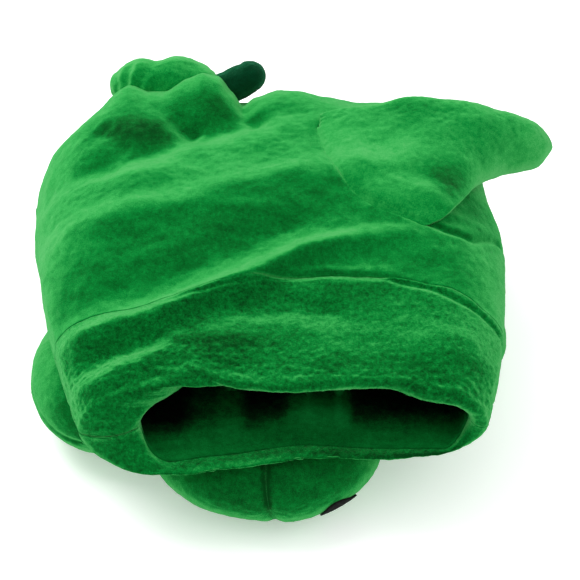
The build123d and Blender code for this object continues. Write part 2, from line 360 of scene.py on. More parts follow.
def paint_sheen_and_shade(mesh, lighter=0.0):
    """Writes the painted sheen and shade at each point, from which way its face turns."""
    normals = np.empty(len(mesh.vertices) * 3)
    mesh.vertices.foreach_get("normal", normals)
    facing = normals.reshape(-1, 3) @ TOWARDS_THE_CAMERA
    set_painted_light(mesh, np.interp(facing, PAINTED_LIGHT_FACING, PAINTED_LIGHT_TONE) + lighter)


def points_of(mesh):
    """A mesh's points in the puppet's own millimetres."""
    points = np.empty(len(mesh.vertices) * 3)
    mesh.vertices.foreach_get("co", points)
    return (points.reshape(-1, 3) - place([0.0, 0.0, 0.0])) / MM


def set_painted_light(mesh, tone):
    """Writes the given painted light and shade, 0 dark to 1 light, at each point."""
    attribute = mesh.attributes.new("painted_light", "FLOAT", "POINT")
    attribute.data.foreach_set("value", np.asarray(tone, np.float32))


def piece(mesh, finish, *nodes, body=None, padded=None):
    """A shown piece with its mesh's name, its material and the CAD nodes it stands for."""
    # Pieces without painted light of their own get the painted sheen and shade of their facing.
    if "painted_light" not in mesh.attributes:
        paint_sheen_and_shade(mesh)
    made = bpy.data.objects.new(mesh.name, mesh)
    bpy.context.scene.collection.objects.link(made)
    mesh.materials.append(finish)
    for polygon in mesh.polygons:
        polygon.use_smooth = True
    if body:
        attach(made, body)
    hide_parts(*nodes)
    return made


def sheet_mesh(name, outer, thickness, closed=False):
    """A cloth mesh: the outer grid, in millimetres, and its inner face a thickness further in.

    closed joins the last column to the first, as in a sleeve.
    """
    inner = outer - grid_normals(outer) * np.asarray(thickness)[..., None]
    if closed:
        outer[:, -1], inner[:, -1] = outer[:, 0], inner[:, 0]
    rows, columns = outer.shape[:2]
    points = place(np.concatenate([outer.reshape(-1, 3), inner.reshape(-1, 3)]))
    count = rows * columns
    faces = []
    for row in range(rows - 1):
        for column in range(columns - 1):
            a = row * columns + column
            b, c, d = a + 1, a + columns + 1, a + columns
            faces.append((a, b, c, d))
            faces.append((a + count, d + count, c + count, b + count))
    first_row = [(0, c) for c in range(columns)]
    last_row = [(rows - 1, c) for c in range(columns - 1, -1, -1)]
    last_column = [(r, columns - 1) for r in range(rows)]
    first_column = [(r, 0) for r in range(rows - 1, -1, -1)]
    rims = [first_row, last_row]
    if not closed:
        rims = [first_row + last_column[1:] + last_row[1:] + first_column[1:]]
    for loop in rims:
        for (r0, c0), (r1, c1) in zip(loop[:-1], loop[1:]):
            a, b = r0 * columns + c0, r1 * columns + c1
            faces.append((b, a, a + count, b + count))
    return welded(name, points, faces)


def welded(name, points, faces):
    """A mesh with doubled points joined, no faces without area and its normals outwards."""
    mesh = bpy.data.meshes.new(name)
    mesh.from_pydata([tuple(p) for p in points], [], faces)
    work = bmesh.new()
    work.from_mesh(mesh)
    bmesh.ops.remove_doubles(work, verts=work.verts, dist=WELD)
    bmesh.ops.dissolve_degenerate(work, edges=work.edges, dist=WELD)
    bmesh.ops.recalc_face_normals(work, faces=work.faces)
    work.to_mesh(mesh)
    work.free()
    return mesh


def tube_mesh(name, rings):
    """A closed mesh through rings of points in millimetres, with both ends drawn shut."""
    rings = np.asarray(rings, float)
    count, size = rings.shape[:2]
    points = [p for ring in rings for p in ring] + [rings[0].mean(0), rings[-1].mean(0)]
    first, last = count * size, count * size + 1
    faces = []
    for row in range(count - 1):
        for column in range(size):
            a, b = row * size + column, row * size + (column + 1) % size
            faces.append((a, b, b + size, a + size))
    for column in range(size):
        a, b = column, (column + 1) % size
        faces.append((first, b, a))
        faces.append((last, (count - 1) * size + a, (count - 1) * size + b))
    return welded(name, place(points), faces)


def directions(rings, around):
    """Unit vectors in rings about the y axis, at the angles around."""
    from_pole = np.linspace(0, math.pi, rings + 2)[1:-1]
    polar, turn = np.meshgrid(from_pole, around, indexing="ij")
    return grid(np.sin(polar) * np.cos(turn), np.cos(polar), np.sin(polar) * np.sin(turn))


def ball_mesh(name, centre, half_sizes, shape=None, rings=96, segments=144):
    """A closed rounded body in millimetres. shape(points, directions) may move its points."""
    way = directions(rings, np.linspace(0, 2 * math.pi, segments, endpoint=False))
    points = np.array(centre) + way * np.array(half_sizes)
    if shape is not None:
        points = shape(points, way)
    return tube_mesh(name, points)


# The sleeve: one outer face, cut into panels at its seams.

COLUMNS, CUFF_ROWS, BACK_ROWS = 260, 70, 100


def section(y):
    """Left and right half width, low z and high z of the sleeve at y."""
    return [np.interp(y, SLEEVE[:, 0], SLEEVE[:, k]) for k in (1, 2, 3, 4)]


def corner_radius(height, top):
    """How wide the rounded side of the upper or lower half section is."""
    return np.minimum(1.18 * height * (1 - SIDE_SEAM_SHARE if top else SIDE_SEAM_SHARE), 48.0)


def flat_arch(share, left, right, radius, arc):
    """x and the rise, 0 to 1, over a flat run from -left to right with rounded sides.

    A rounded side is radius wide and arc long, and share runs from 0 to 1 along it all.
    """
    run = left + right - 2 * radius
    way = share * (run + 2 * arc)
    turn_left = np.clip(way / arc, 0, 1) * math.pi / 2
    turn_right = np.clip((way - arc - run) / arc, 0, 1) * math.pi / 2
    x = -left + radius * (1 - np.cos(turn_left)) + np.clip(way - arc, 0, run)
    x = x + radius * np.sin(turn_right)
    return x, np.where(way < arc + run / 2, np.sin(turn_left), np.cos(turn_right))


def half_section(share, y, top):
    """x and z on the section at y: share runs 0 to 1 from the left side seam to the right one."""
    left, right, low, high = section(y)
    height = high - low
    seam_z = low + SIDE_SEAM_SHARE * height
    rise = (high - seam_z) if top else (seam_z - low)
    radius = corner_radius(height, top)
    x, side = flat_arch(share, left, right, radius, math.pi / 2 * (radius + rise) / 2)
    return x, seam_z + (rise if top else -rise) * side


def half_width(x, y):
    """The half width on the side of x."""
    left_width, right_width, _, _ = section(np.minimum(y, NECK_Y))
    return np.where(x < 0, left_width, right_width)


def cuff_seam_y(x):
    return eased(x, CUFF_SEAM)


def outer_face(y, share, top):
    """Points of the sleeve's outer face."""
    x, z = half_section(share, y, top)
    return grid(x, y, z)


def inward(points):
    """The direction from the sleeve's wall to its middle, in the section's plane."""
    _, _, low, high = section(points[..., 1])
    x = points[..., 0]
    width = half_width(x, points[..., 1])
    across = smooth(np.abs(x), width * 0.78, width) * np.sign(x)
    up = np.where(points[..., 2] > low + SIDE_SEAM_SHARE * (high - low), 1.0, -1.0)
    return grid(-across, 0.0, -up * np.sqrt(1 - across**2))


def opening_loop(share, top):
    """x and z of the opening's own outline, for the same shares as the hem's outer line."""
    left, right, low, high = OPENING
    corner = (high - low) / 2
    x, side = flat_arch(share, left, right, corner, math.pi / 2 * corner)
    z = low + corner + (corner if top else -corner) * side
    return x, z + (eased(x, UPPER_EDGE) if top else 0.0) * side


def hem_edge_y(x, top):
    """The hem's front line."""
    return eased(x, UPPER_LIP if top else LOWER_LIP)


def inner_edge_y(x, share, top):
    """The opening's front edge, which keeps to the hem's front line near the side seams."""
    outer_x = half_section(share, np.full(len(share), HEM_SECTION_Y), top)[0]
    away = smooth(share, 0.0, 0.13) * smooth(1 - share, 0.0, 0.13)
    seam_side = hem_edge_y(outer_x, top)
    return seam_side + (hem_edge_y(x, top) - seam_side) * away


def rolled_hem(edge, share, top):
    """Rows that turn in round the hem and run a little way inside, innermost first."""
    x, z = opening_loop(share, top)
    inner = grid(x, inner_edge_y(x, share, top) + HEM_DEPTH, z)
    middle, half = (edge + inner) / 2, (edge - inner) / 2
    reach = np.minimum(np.linalg.norm(edge - inner, axis=-1) / 2, HEM_ROLL)
    ahead = np.array([0.0, -1.0, 0.0]) * reach[:, None]
    rows = [inner + np.array([0.0, inside, 0.0]) for inside in (3.0, 2.0, 1.0)]
    for angle in np.radians(np.arange(180.0, 0.0, -10.0)):
        rows.append(middle + half * math.cos(angle) + ahead * math.sin(angle))
    return rows


def round_the_corner_line(end, angles, top):
    """Rows that turn on about the mouth's corner line: the hood above it, the throat below it."""
    rows = []
    for angle in angles:
        reach = np.abs(end[:, 2] - MOUTH_Z)
        if not top:
            reach = reach + (np.minimum(reach, THROAT_RIM) - reach) * smooth(angle, 90, THROAT_END)
        turned = end.copy()
        narrower = 0.09 * smooth(angle, 90, 48) * smooth(end[:, 0], -50, -100)
        turned[:, 0] *= 1 - narrower
        turned[:, 1] = NECK_Y + reach * math.cos(math.radians(angle))
        turned[:, 2] = MOUTH_Z + (1 if top else -1) * reach * math.sin(math.radians(angle))
        rows.append(turned)
    return rows


def sleeve_half(top):
    """The whole upper or lower outer face, hem roll first, and its row at the cuff's seam."""
    share = np.linspace(0, 1, COLUMNS)
    x_hem = half_section(share, np.full(COLUMNS, HEM_SECTION_Y), top)[0]
    y_hem = hem_edge_y(x_hem, top) + HEM_DEPTH
    y_seam = cuff_seam_y(x_hem)
    cuff = [y_hem + (y_seam - y_hem) * t for t in np.linspace(0, 1, CUFF_ROWS)]
    panel = [y_seam + (NECK_Y - y_seam) * t for t in np.linspace(0, 1, BACK_ROWS)[1:]]
    rows = [outer_face(y, share, top) for y in cuff]
    rows = rolled_hem(rows[0], share, top) + rows
    seam_row = len(rows) - 1
    rows += [outer_face(y, share, top) for y in panel]
    angles = np.arange(88.5, HOOD_END if top else THROAT_END, -1.0)
    rows += round_the_corner_line(rows[-1], angles, top)
    return np.array(rows), seam_row


def back_rise(x, y, z):
    """How far folds, seams and the far edge lift the back's cloth."""
    rise = fold_height(x, np.minimum(y, 70)) * smooth(z, 50, 66)
    rise += eased(x, FAR_EDGE) * smooth(y, 50, 74) * smooth(z, 44, 62)
    past_seam = y - cuff_seam_y(x)
    crest = 0.45 * bell(past_seam - 2.4, 2.0)
    crest = crest - 0.3 * smooth(past_seam, 0, -3) * smooth(past_seam, -16, -3)
    rise += crest * smooth(x, -58, -26) * (1 - 0.7 * smooth(x, 20, 60))
    away, _ = distance_to_line(x, y, ARMHOLE)
    return rise + seam_groove(away, 1.5, 1.7) * smooth(z, 50, 66)


def off_mouth_corner(points):
    """0 at the mouth's corners, where the rows of the hood and throat meet, and 1 away from them."""
    return smooth(np.hypot(points[..., 1] - NECK_Y, points[..., 2] - MOUTH_Z), 1.5, 10.0)


def dressed(points, top):
    """The folds, seams and plush unevenness added along the normals."""
    x, y, z = np.moveaxis(points, -1, 0)
    width = half_width(x, y)
    off_side_seam = 1 - smooth(np.abs(x), width - 10, width - 0.5)
    rise = -1.2 * (1 - smooth(width - np.abs(x), 0.0, 2.2)) * smooth(y, -92, -84)
    rise += seam_groove(np.abs(y - cuff_seam_y(x)), 1.2, 1.3) * (smooth(x, -52, -18) * 0.95 + 0.05)
    if top:
        rise += back_rise(x, y, z)
    uneven = 1.3 * bumps(points, 34.0, 1, 2) + 0.35 * bumps(points, 6.0, 2, 2)
    rise += uneven * (0.2 + 0.8 * off_side_seam)
    tufted = smooth(y, -62, -90) if top else smooth(y, -84, -96)
    clumps = 0.34 * bumps(points, 2.2, 3, 2) + 0.2 * bumps(points, 1.4, 5, 1)
    rise += tufted * clumps * (1.0 if top else 0.55)
    rise += 0.14 * bumps(points, 1.6, 4, 1)
    out_of_the_opening = smooth(np.arange(len(points)), 1, 16)[:, None]
    rise *= (0.12 + 0.88 * out_of_the_opening) * off_mouth_corner(points)
    normals = grid_normals(points)
    facing = np.sign(np.median((normals * -inward(points)).sum(-1)))
    return points + facing * normals * rise[..., None]


def seam_groove(away, width, depth):
    """The dent beside a seam, at a distance away from it."""
    return -depth * bell(away, width)


def top_z(x, y):
    """The height of the back's outer face over a point, for what lies on it."""
    _, _, low, high = section(np.minimum(y, NECK_Y))
    seam_z = low + SIDE_SEAM_SHARE * (high - low)
    radius = corner_radius(high - low, True)
    past = np.clip((np.abs(x) - (half_width(x, y) - radius)) / radius, 0, 1)
    z = seam_z + (high - seam_z) * np.sqrt(1 - past**2)
    reach = np.maximum(z - MOUTH_Z, 1.0)
    beyond = np.clip(np.maximum(y - NECK_Y, 0) / reach, 0, 1)
    z = np.where(y > NECK_Y, MOUTH_Z + reach * np.sqrt(1 - beyond**2), z)
    return z + fold_height(x, np.minimum(y, 70)) * smooth(z, 50, 66)


def cloth(name, points, thickness=CLOTH, first_rows=CLOTH):
    """A cloth with a thickness of its own in its first rows. It thins at the mouth's corners."""
    past_first = smooth(np.arange(len(points)), 22, 34)
    depth = (first_rows + (thickness - first_rows) * past_first)[:, None]
    depth = depth * (0.1 + 0.9 * off_mouth_corner(points))
    return sheet_mesh(name, points, depth)


# Patches of painted light and shade on the pile: x, y, half sizes and how much lighter each is painted,
# negative for painted shade.
BACK_PAINTED_PATCHES = (
    (-58, 42, 20, 9, -0.35),
    (86, 2, 11, 15, -0.45),
    (-18, 60, 9, 7, -0.15),
    (56, -30, 22, 7, 0.1),
)
CUFF_PAINTED_SHADE = ((-20, -74, 22, 8, -0.25), (20, -84, 40, 5, -0.12))
ARM_PAINTED_PATCHES = ((75, 3, 10, 11, -0.5), (58, 44, 17, 9, -0.25), (114, 42, 12, 12, 0.22))


def painted_patch_tone(mesh, patches):
    """How much lighter the pile is painted at each point for its patches of painted light and shade."""
    x, y, _ = points_of(mesh).T
    tone = 0.0
    for at_x, at_y, half_x, half_y, lighter in patches:
        tone = tone + lighter * bell(x - at_x, half_x) * bell(y - at_y, half_y)
    return tone


def inside_hem_painted_shade(mesh, top):
    """Painted shade: the pile is painted darker inside the opening."""
    x, y, z = points_of(mesh).T
    left, right, low, high = OPENING
    inside = smooth(z, high + 1.0, high - 0.5) if top else smooth(z, low - 1.4, low - 0.2)
    inside = inside * smooth(x, -left, -left + 12) * smooth(x, right, right - 12)
    return -0.3 * inside * smooth(y - hem_edge_y(x, top), -1.2, 1.6)


def sleeve_pieces():
    """The back and the belly, each with its band of the cuff."""
    for top, half, panel_name, node, with_jaw in (
        (True, "upper", "back_cloth", "back_panel", (0.0, 84.0, 76.0)),
        (False, "lower", "belly_cloth", "belly_panel", (0.0, 60.0, 8.0)),
    ):
        rows, seam_row = sleeve_half(top)
        rows = dressed(rows, top)
        if not top:
            rows = rows[:, ::-1]
        cuff = cloth(f"cuff_cloth_{half}", rows[: seam_row + 1], first_rows=HEM_CLOTH)
        # Painted shade inside the opening; on the upper cuff, painted patches of shade as well.
        paint_sheen_and_shade(cuff, inside_hem_painted_shade(cuff, top) + (painted_patch_tone(cuff, CUFF_PAINTED_SHADE) if top else 0.0))
        piece(cuff, CURLY, f"cuff_{half}", body="body")
        panel = cloth(panel_name, rows[seam_row:])
        # Painted patches of light and shade on the back.
        paint_sheen_and_shade(panel, painted_patch_tone(panel, BACK_PAINTED_PATCHES) if top else 0.0)
        made = piece(panel, GREEN, node)
        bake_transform(made)


# Folds of the lining that hang in the opening: x, half width and how far they hang.
HANGING = ((-25, 7, 10.0), (-14.5, 5.5, 17.0), (12, 5, 12.0), (21, 7, 15.0), (29.5, 3.5, 16.0))
LINING_STOPS = (0, 2, 4, 7, 10, 13, 16, 20, 25, 31, 38, 47, 58, 70, 84, 100)  # per cent of its depth
LINING_COLUMNS = 200
LINING_START = 4.6  # behind the opening's front edge
LINING_END_Y = 14.0
LINING_OFF_HEM = 0.6
LINING_OFF_WALL = 4.0
LINING_CLOTH = 0.8


def lining_half(top):
    """The upper or lower face of the hand lining."""
    share = np.linspace(0, 1, LINING_COLUMNS)
    x_open, z_open = opening_loop(share, top)
    start = grid(x_open, inner_edge_y(x_open, share, top) + LINING_START, z_open)
    start += inward(start) * LINING_OFF_HEM
    rows = []
    for stop in LINING_STOPS:
        y = start[:, 1] + (LINING_END_Y - start[:, 1]) * stop / 100.0
        wall = outer_face(y, share, top)
        wall = wall + inward(wall) * LINING_OFF_WALL
        deeper = smooth(stop, 0, 24)
        row = start * (1 - deeper) + wall * deeper
        row[:, 1] = y
        x = row[:, 0]
        hang = sum(drop * hanging_share(x, at, width) for at, width, drop in HANGING)
        if top:
            row[:, 2] += np.minimum(fold_height(x, y), 0) * deeper - 1.5 * deeper
            depth = smooth(stop, 3, 12) * (1 - smooth(stop, 30, 55))
            row[:, 2] -= np.clip(row[:, 2] - section(y)[2] - 5.0, 0, hang) * depth
        else:
            row[:, 2] += (2.0 + 0.9 * np.sin(x / 7.0) + 1.1 * np.sin(x / 17.0 + 1)) * deeper
        rows.append(row)
    return np.array(rows)


def hanging_share(x, at, width):
    """1 in the middle of a hanging fold and 0 beside it, with steep sides."""
    return np.exp(-(((x - at) / width) ** 4))


def lining_piece():
    """The hand lining: painted light near the hem and on its hanging folds, painted shade deeper
    inside.
    """
    upper, lower = lining_half(True), lining_half(False)[:, ::-1]
    loop = np.concatenate([upper, lower[:, 1:]], axis=1)[:, ::-1].copy()
    mesh = sheet_mesh("lining_cloth", loop, np.full(loop.shape[:2], LINING_CLOTH), closed=True)
    x, y, _ = points_of(mesh).T
    hang = sum(np.minimum(drop / 14, 1) * hanging_share(x, at, width) for at, width, drop in HANGING)
    # Painted light on the hanging folds and near the hem, painted shade that deepens to black further
    # in.
    past_lip = y - hem_edge_y(x, False)
    tone = 0.62 - 0.62 * smooth(past_lip, 12, 27) + 0.44 * hang * smooth(past_lip, 10, 22)
    tone *= 1 - smooth(past_lip, 24 + 14 * hang, 36 + 22 * hang)
    set_painted_light(mesh, tone)
    piece(mesh, LINING, "hand_lining", body="body")


# The stuffed parts under the sleeve.

RUMP_AT, RUMP_HALF = (-1.0, -77.5, 20.5), (47.0, 39.5, 21.0)
SHOULDER_AT, SHOULDER_HALF = (82.0, 44.0, 38.5), (12.5, 42.0, 38.0)
SEAM_LEAN = 5.0  # how far the ball's centre seam leans to the right as it goes under
HAUNCHES = {  # middle and half sizes; the right one has slipped further under the sleeve
    "left": ((-65.0, -38.0, 22.0), (35.5, 43.5, 23.0)),
    "right": ((67.5, -8.0, 18.0), (34.5, 38.0, 18.0)),
}


def on_side(side, at):
    """A place given for the right side, on the given side."""
    return (at[0] * SIGN[side], at[1], at[2])


def under_the_sleeve(points):
    """Presses points down under the sleeve and flattens them on the surface."""
    x, y, z = np.moveaxis(points, -1, 0)
    low = section(np.clip(y, SLEEVE[0, 0], NECK_Y))[2]
    width = half_width(x, y)
    roof = low - 1.0 + 12.0 * smooth(np.abs(x), width - 12, width + 2)
    z = np.where(z > roof, roof + 0.1 * (z - roof), z)
    points[..., 2] = np.where(z < 1.2, 0.35 + 0.12 * np.maximum(z, -3), z)
    return points


def seam_lean(z):
    return SEAM_LEAN * smooth(z, 34, 0)


def on_rump(way):
    """The ball's surface along the directions way."""
    points = np.array(RUMP_AT) + way * np.array(RUMP_HALF)
    points[..., 0] += seam_lean(points[..., 2]) * bell(way[..., 0], 0.45)
    return points


def rump_half(side):
    """One half of the ball under the opening, with its side of the centre seam."""
    way = directions(96, np.linspace(-math.pi / 2, math.pi / 2, 84)) * (SIGN[side], -1, 1)
    points = on_rump(way)
    off_seam = np.abs(way[..., 0]) * RUMP_HALF[0]
    pull = 0.035 * bell(off_seam, 2.6)
    pucker = 1.0 + 0.15 * np.sin(points[..., 1] * 1.1 + points[..., 2] * 0.9)
    points -= (points - np.array(RUMP_AT)) * (pull * pucker)[..., None]
    rise = 0.6 * bumps(points, 22.0, 11, 2) + 0.22 * bumps(points, 2.4, 12, 2)
    points += way * (rise * smooth(off_seam, 0, 3))[..., None]
    mesh = tube_mesh(f"rump_cloth_{side}", under_the_sleeve(points))
    x, _, z = points_of(mesh).T
    past_seam = x - RUMP_AT[0] - seam_lean(z)
    # Painted shade makes the ball a little darker all over; the pile is also darker along its centre
    # seam.
    paint_sheen_and_shade(mesh, -0.35 * bell(past_seam, 1.6) - 0.08)
    piece(mesh, GREEN, f"rump_{side}", body="body", padded=0.7)


PATCH_FROM, PATCH_TO = 0.42, 0.75  # across the ball, as shares of its half width
PATCH_TURN, PATCH_ABOVE, PATCH_BELOW = 212.0, 28.0, 12.0  # degrees round the ball's x axis
PATCH_CLOTH = 0.7


def rump_patch_piece():
    """The thin black felt lens low on the ball's right side, mostly on its underside."""
    x_way = np.linspace(PATCH_FROM, PATCH_TO, 50)[:, None]
    share = np.linspace(0, 1, 16)
    reach = np.sin(math.pi * np.linspace(0.03, 0.97, 50))[:, None] ** 0.7
    turn = np.radians(PATCH_TURN + (share * (PATCH_ABOVE + PATCH_BELOW) - PATCH_ABOVE) * reach)
    ring = np.sqrt(1 - x_way**2)
    way = grid(x_way, ring * np.cos(turn), ring * np.sin(turn))
    points = on_rump(way) + way * 0.2
    points[..., 2] = np.maximum(points[..., 2], 0.9) + 0.1 * bumps(points, 3.0, 15, 2)
    mesh = cloth("patch_felt", points[:, ::-1], PATCH_CLOTH, PATCH_CLOTH)
    piece(mesh, BLACK, "rump_patch", body="body")


def haunch_piece(side):
    """A stuffed haunch with the seam along its flank."""
    centre, half = HAUNCHES[side]

    def shape(points, way):
        rise = 1.3 * bumps(points, 26.0, 21, 2) + 0.22 * bumps(points, 2.4, 23, 2)
        seam = np.abs(points[..., 2] - centre[2] - 3 - 0.12 * (points[..., 1] - centre[1]))
        rise += seam_groove(seam, 1.6, 1.1) * (np.abs(way[..., 0]) > 0.3)
        return under_the_sleeve(points + way * rise[..., None])

    mesh = ball_mesh(f"haunch_cloth_{side}", centre, half, shape)
    piece(mesh, GREEN, f"haunch_{side}", body="body", padded=0.7)


def filling_piece(name, centre, half, node, body, tilt):
    """Loose fibre filling: a lumpy ball inside its cloth."""

    def shape(points, way):
        points[..., 2] += tilt * (points[..., 1] - centre[1])
        return points + way * (1.5 * bumps(points, 12.0, 31, 3))[..., None]

    mesh = ball_mesh(name, centre, half, shape, 40, 60)
    piece(mesh, FIBRE, node, body=body, padded=0.5)


def shoulder_piece(side):
    """The rounded side of the sleeve beside the head."""

    def shape(points, way):
        rise = 1.2 * bumps(points, 22.0, 41, 2) + 0.25 * bumps(points, 2.6, 42, 2)
        points = points + way * rise[..., None]
        points[..., 2] = np.maximum(points[..., 2], 0.5)
        return points

    mesh = ball_mesh(f"shoulder_cloth_{side}", on_side(side, SHOULDER_AT), SHOULDER_HALF, shape)
    piece(mesh, GREEN, f"shoulder_{side}", body="body", padded=0.6)


# The head: its cloth is a height over the mouth's corner line, by x and by angle.

HEAD_HALF, HEAD_RADIUS, CHIN_RADIUS = 69.0, 53.2, 28.0
HALF_GAP = 3.4  # of the mouth at rest
HEAD_SQUARENESS = 2.8
JAW_CLOTH = 2.0
MOUTH_FELT = 1.0
EYE_MOUND_AT, EYE_MOUND_RADIUS = (40.0, 89.0, 55.5), 12.1
NOSTRIL_AT, NOSTRIL_HALF = (13.0, 113.6, 47.0), (3.4, 2.4, 2.0)


def head_profile(x):
    """The head's reach at x as a share of its reach in the middle."""
    return np.clip(1 - np.abs(x / HEAD_HALF) ** HEAD_SQUARENESS, 0, 1) ** (1 / HEAD_SQUARENESS)


def head_reach(x, angle):
    """How far the upper head's outer face is from the corner line."""
    snout = 17.5 * bell(angle - 4, 17.0) * np.clip(1 - (x / 62.0) ** 2, 0, 1) ** 0.8
    brow = 1.6 * bell(angle - 44, 9.0)
    dip = -1.8 * bell(x, 16.0) * bell(angle - 30, 12.0)
    tuck = -2.8 * smooth(angle, 48, 62)  # the back of the head clears what lies on the hood
    return HEAD_RADIUS * head_profile(x) + snout + (brow + dip + tuck) * head_profile(x)


def chin_reach(x, angle):
    """How far the lower jaw's outer face is from the corner line; angle is below it."""
    lip = 37.5 * bell(angle - 5, 27.0) * np.clip(1 - (x / 60.0) ** 2, 0, 1) ** 0.7
    return CHIN_RADIUS * head_profile(x) + lip


def jaw_rows(reach, last, sign):
    """The jaw's outer face from the lip to the back, as rows over x."""
    x = HEAD_HALF * 0.995 * np.sin(np.linspace(-1, 1, 170) * math.pi / 2)
    first = np.degrees(np.arcsin(np.clip(HALF_GAP / np.maximum(reach(x, 3.0), HALF_GAP), 0, 0.95)))
    rows = []
    for t in np.linspace(0, 1, 90):
        angle = first + (last - first) * t
        far = reach(x, angle)
        turn = np.radians(angle)
        rows.append(grid(x, NECK_Y + far * np.cos(turn), MOUTH_Z + sign * far * np.sin(turn)))
    return np.array(rows)


def jaw_cloth(name, reach, last, sign, node, body, seed):
    """The crown, with its centre seam, or the chin. sign is 1 above the mouth and -1 below it."""
    rows = jaw_rows(reach, last, sign)
    if sign < 0:
        rows = rows[:, ::-1]
    x = rows[..., 0]
    rise = 0.2 if sign > 0 else 0.9
    rise = rise + 0.7 * bumps(rows, 20.0, seed, 2) + 0.25 * bumps(rows, 2.4, seed + 1, 2)
    rise = rise * head_profile(x) + seam_groove(np.abs(x), 1.4, 1.1) * (sign > 0)
    normals = grid_normals(rows)
    centre = np.array([0.0, NECK_Y, MOUTH_Z])
    outward = np.sign(np.median(((rows - centre) * normals).sum(-1)))
    rows = rows + outward * normals * rise[..., None]
    if outward < 0:
        rows = rows[:, ::-1]
    piece(cloth(name, rows, JAW_CLOTH), GREEN, node, body=body)


def mouth_lining(half, reach, z):
    """One flat felt lining, cut to the lip's line."""
    x = HEAD_HALF * 0.98 * np.sin(np.linspace(-1, 1, 120) * math.pi / 2)
    lip = np.sqrt(np.maximum(reach(x, 3.0) ** 2 - HALF_GAP**2, 0.5)) - 1.2
    rows = np.array([grid(x, NECK_Y + lip * t, z) for t in np.linspace(0.02, 1, 40)])
    rows[..., 2] += 0.25 * bumps(rows, 12.0, 51, 2)
    mesh = cloth(f"mouth_felt_{half}", rows, MOUTH_FELT)
    piece(mesh, MOUTH, f"mouth_lining_{half}", body=f"{half}_jaw")


def tongue_piece():
    """A flat felt tongue with a crease down its middle."""

    def shape(points, way):
        points[..., 2] -= 0.5 * bell(points[..., 0], 1.5) * (way[..., 2] > 0)
        return points

    z = MOUTH_Z - HALF_GAP + 1.0
    mesh = ball_mesh("tongue_felt", (0, 86.0, z), (15.0, 24.0, 1.0), shape, rings=60, segments=64)
    piece(mesh, TONGUE, "tongue", body="lower_jaw")


def eye_mound(side):
    """The domed cloth under an eye."""

    def shape(points, way):
        return points + way * (0.3 * bumps(points, 2.4, 61, 2))[..., None]

    half = (EYE_MOUND_RADIUS,) * 3
    mesh = ball_mesh(f"eye_mound_cloth_{side}", on_side(side, EYE_MOUND_AT), half, shape, 60, 80)
    piece(mesh, GREEN, f"eye_mound_{side}", body="upper_jaw", padded=0.8)


def nostril_piece(side):
    mesh = ball_mesh(f"nostril_felt_{side}", on_side(side, NOSTRIL_AT), NOSTRIL_HALF, None, 24, 32)
    piece(mesh, BLACK, f"nostril_{side}", body="upper_jaw")


# Arms.

def curve_through(points, count):
    """A smooth curve through rows of numbers, evenly spread between them."""
    points = np.asarray(points, float)
    ends = np.vstack([2 * points[0] - points[1], points, 2 * points[-1] - points[-2]])
    result = []
    for at in np.linspace(0, len(points) - 1 - 1e-9, count):
        k, t = int(at), at - int(at)
        p0, p1, p2, p3 = ends[k : k + 4]
        squared, cubed = 2 * p0 - 5 * p1 + 4 * p2 - p3, 3 * p1 - p0 - 3 * p2 + p3
        result.append(0.5 * (2 * p1 + (p2 - p0) * t + squared * t**2 + cubed * t**3))
    return np.array(result)


ARM_PAINTED_LIGHT = 0.2  # painted light: the arms' pile is painted lighter all over
ARM_CLOTH = 1.0
ARM_ROWS, ARM_COLUMNS = 170, 120

# The right arm's far and near edge, x, y, z each, and its thickness, from its base to its tip.
RIGHT_ARM = (
    (12, 44, 86, 40, -15, 84, 3.0),
    (26, 48, 87, 58, -19, 82, 4.0),
    (41, 50, 90, 69, -17, 82, 6.0),
    (58, 52, 96, 76, -8, 82, 8.0),
    (73, 51, 97, 81, 2, 80, 10.0),
    (86, 50.5, 96.5, 85, 11, 78.5, 11.5),
    (98.5, 50, 93, 91, 21, 77, 12.0),
    (107, 50, 90, 99, 31, 74.5, 11.5),
    (114.5, 50, 86, 108, 37, 71.8, 10.5),
    (119, 50, 81.5, 115.5, 41, 71.0, 8.5),
    (121.3, 49, 78.0, 119.5, 45.0, 73.0, 5.0),
    (122.0, 47.7, 75.9, 121.8, 47.2, 75.3, 0.4),
)


def right_arm_face(full_turns, end_angle):
    """Part of the right arm's skin as a grid, from the seam at its far edge to end_angle.

    Angles run round its section: -90 far, 0 top, 90 near, 180 below. Near the tip the seam moves up.
    """
    numbers = curve_through(RIGHT_ARM, ARM_ROWS)
    far, near = numbers[:, None, :3], numbers[:, None, 3:6]
    thick = np.maximum(numbers[:, 6], 0.3)[:, None]
    along = np.linspace(0, 1, ARM_ROWS)[:, None]
    share = np.linspace(0, 1, ARM_COLUMNS)[None, :]
    seam_angle = -90.0 + 38.0 * smooth(along, 0.72, 0.95) + 360.0 * full_turns
    turn = np.radians(seam_angle + (end_angle - seam_angle) * share)
    up = np.cross(near - far, np.array([-1.0, 0.0, 0.0]))
    up = up / np.linalg.norm(up, axis=-1, keepdims=True)
    up = up * np.sign(up[..., 2:3])
    across = ((1 + np.sin(turn)) / 2)[..., None]
    return far + (near - far) * across + up * (thick / 2 * np.cos(turn))[..., None]


def inside_armhole(x, y):
    """Distance from the armhole seam, positive on the arm's side."""
    away, _ = distance_to_line(x, y, ARMHOLE)
    line = np.array(ARMHOLE, float)
    seam_y = np.interp(x, line[:, 0], line[:, 1])
    return np.where((y > seam_y) & (x > line[0, 0]), away, -away)


def soft_min(a, b, width):
    """The smaller of two numbers, rounded off where they cross."""
    return 0.5 * (a + b - np.sqrt((a - b) ** 2 + width**2))


